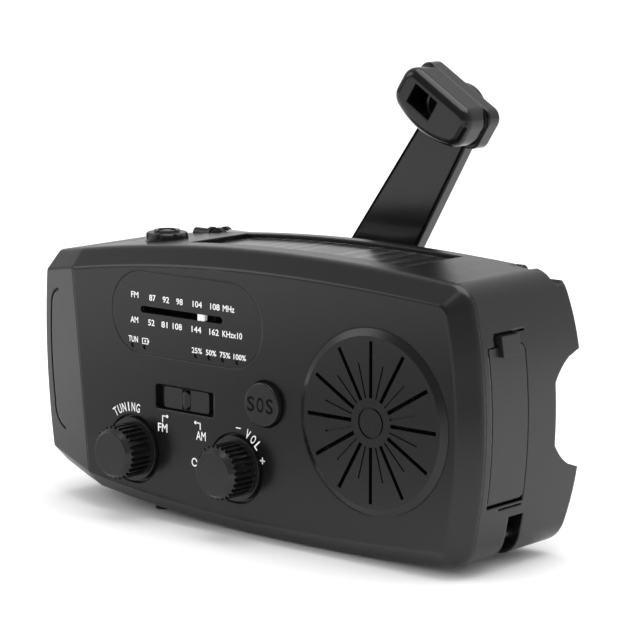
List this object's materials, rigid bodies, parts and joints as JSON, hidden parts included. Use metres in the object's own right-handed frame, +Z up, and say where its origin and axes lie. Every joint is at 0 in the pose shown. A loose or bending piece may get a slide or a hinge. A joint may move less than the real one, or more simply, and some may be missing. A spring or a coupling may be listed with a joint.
{
  "type": "emergency radio",
  "caption": "Hand-crank emergency radio with arched case, dial, speaker, end lamp, solar cell, port door, telescopic antenna and folding rear crank.",
  "frame": {"origin": "bottom centre of the whole radio with its crank raised, on the surface that it stands on", "axes": "+X to the right seen from the front, +Y to the back, +Z up"},
  "size_m": [0.1257, 0.0582, 0.0993],
  "materials": {
    "case": "fine satin grain, near-black charcoal",
    "panel": "smooth charcoal, slightly lighter than the case",
    "control": "moulded charcoal",
    "pointer": "white",
    "clear": "clear polycarbonate",
    "led": "clear epoxy",
    "reflector": "vacuum metallised",
    "board": "green solder mask",
    "steel": "plated steel",
    "chrome": "polished chrome plate",
    "brass": "machined",
    "gear": "natural acetal",
    "cone": "coated paper cone",
    "magnet": "sintered ferrite",
    "cell": "monocrystalline silicon",
    "battery": "heat-shrink film",
    "rubber": "soft matt rubber"
  },
  "bodies": {
    "case": {"front_cover": "case", "main_housing": "case", "lamp_cap": "case", "lamp_lens": "clear", "lamp_reflector": "reflector", "lamp_leds": "led", "lamp_board": "board", "dial_panel": "panel", "dial_rail": "control", "indicator_leds": "led", "speaker_grille": "case", "speaker_frame": "steel", "speaker_cone": "cone", "speaker_magnet": "magnet", "tuning_capacitor": "panel", "volume_control": "steel", "band_switch": "steel", "sos_switch": "steel", "lamp_switch": "steel", "solar_cell": "cell", "solar_window": "clear", "usb_socket": "steel", "micro_usb_socket": "steel", "strap_bar": "steel", "antenna_base": "chrome", "idler_axle": "steel", "gear_plate": "steel", "generator_case": "steel", "crank_bushing": "brass", "main_board": "board", "battery": "battery", "ferrite_rod": "magnet", "case_screws": "steel", "feet": "rubber"},
    "tuning": {"tuning_knob": "control"},
    "pointer": {"dial_pointer": "pointer"},
    "volume": {"volume_knob": "control"},
    "band": {"band_slider": "control"},
    "sos": {"sos_button": "control"},
    "lamp_key": {"lamp_button": "control"},
    "door": {"port_door": "control", "door_tab": "control"},
    "knuckle": {"antenna_knuckle": "chrome", "antenna_pin": "steel"},
    "antenna_1": {"antenna_tube_1": "chrome"},
    "antenna_2": {"antenna_tube_2": "chrome"},
    "antenna_3": {"antenna_tube_3": "chrome"},
    "antenna_4": {"antenna_rod": "chrome"},
    "hub": {"crank_hub": "control", "crank_pin": "steel", "drive_gear": "gear"},
    "arm": {"crank_arm": "case", "grip_screw": "steel"},
    "grip": {"crank_grip": "control"},
    "idler": {"idler_gear": "gear"},
    "rotor": {"generator_rotor": "brass"}
  },
  "joints": [
    {"name": "crank_spin", "type": "hinge", "parent": "case", "child": "hub", "pos_m": [-0.0163, 0.0151, 0.0309], "axis": [0, 1, 0], "continuous": true},
    {"name": "arm_fold", "type": "hinge", "parent": "hub", "child": "arm", "pos_m": [-0.01087, 0.02735, 0.0393], "axis": [-0.8396, 0, 0.5432], "range_deg": [0, 180]},
    {"name": "grip_spin", "type": "hinge", "parent": "arm", "child": "grip", "pos_m": [0.02237, 0.02565, 0.09068], "axis": [0, 1, 0], "continuous": true},
    {"name": "idler_spin", "type": "hinge", "parent": "case", "child": "idler", "pos_m": [-0.0319, -0.00175, 0.0309], "axis": [0, 1, 0], "continuous": true},
    {"name": "generator_spin", "type": "hinge", "parent": "case", "child": "rotor", "pos_m": [-0.02303, -0.00175, 0.04147], "axis": [0, 1, 0], "continuous": true},
    {"name": "tuning_turn", "type": "hinge", "parent": "case", "child": "tuning", "pos_m": [-0.03015, -0.02175, 0.0152], "axis": [0, 1, 0], "range_deg": [-138, 39]},
    {"name": "pointer_slide", "type": "slide", "parent": "case", "child": "pointer", "axis": [1, 0, 0], "range_m": [-0.0161, 0.0047]},
    {"name": "volume_turn", "type": "hinge", "parent": "case", "child": "volume", "pos_m": [-0.00005, -0.02175, 0.0152], "axis": [0, 1, 0], "range_deg": [-150, 120]},
    {"name": "band_slide", "type": "slide", "parent": "case", "child": "band", "axis": [1, 0, 0], "range_m": [-0.0018, 0.0018]},
    {"name": "sos_press", "type": "slide", "parent": "case", "child": "sos", "axis": [0, 1, 0], "range_m": [0, 0.0008], "stiffness_N_per_m": 600, "springref_m": -0.001},
    {"name": "lamp_press", "type": "slide", "parent": "case", "child": "lamp_key", "axis": [0, 0, -1], "range_m": [0, 0.0007], "stiffness_N_per_m": 600, "springref_m": -0.001},
    {"name": "door_swing", "type": "hinge", "parent": "case", "child": "door", "pos_m": [0.06075, -0.00915, 0.0157], "axis": [0, 1, 0], "range_deg": [0, 90]},
    {"name": "antenna_swivel", "type": "hinge", "parent": "case", "child": "knuckle", "pos_m": [-0.034, 0.01135, 0.0584], "axis": [1, 0, 0], "range_deg": [-30, 30]},
    {"name": "antenna_tilt", "type": "hinge", "parent": "knuckle", "child": "antenna_1", "pos_m": [-0.034, 0.01135, 0.0584], "axis": [0, -1, 0], "range_deg": [0, 90]},
    {"name": "antenna_slide_1", "type": "slide", "parent": "antenna_1", "child": "antenna_2", "axis": [1, 0, 0], "range_m": [0, 0.066]},
    {"name": "antenna_slide_2", "type": "slide", "parent": "antenna_2", "child": "antenna_3", "axis": [1, 0, 0], "range_m": [0, 0.066]},
    {"name": "antenna_slide_3", "type": "slide", "parent": "antenna_3", "child": "antenna_4", "axis": [1, 0, 0], "range_m": [0, 0.066]}
  ],
  "couplings": [
    {"joint": "pointer_slide", "follows": "tuning_turn", "m_per_rad": 0.0066},
    {"joint": "idler_spin", "follows": "crank_spin", "ratio": -3.3333},
    {"joint": "generator_spin", "follows": "crank_spin", "ratio": 12}
  ]
}
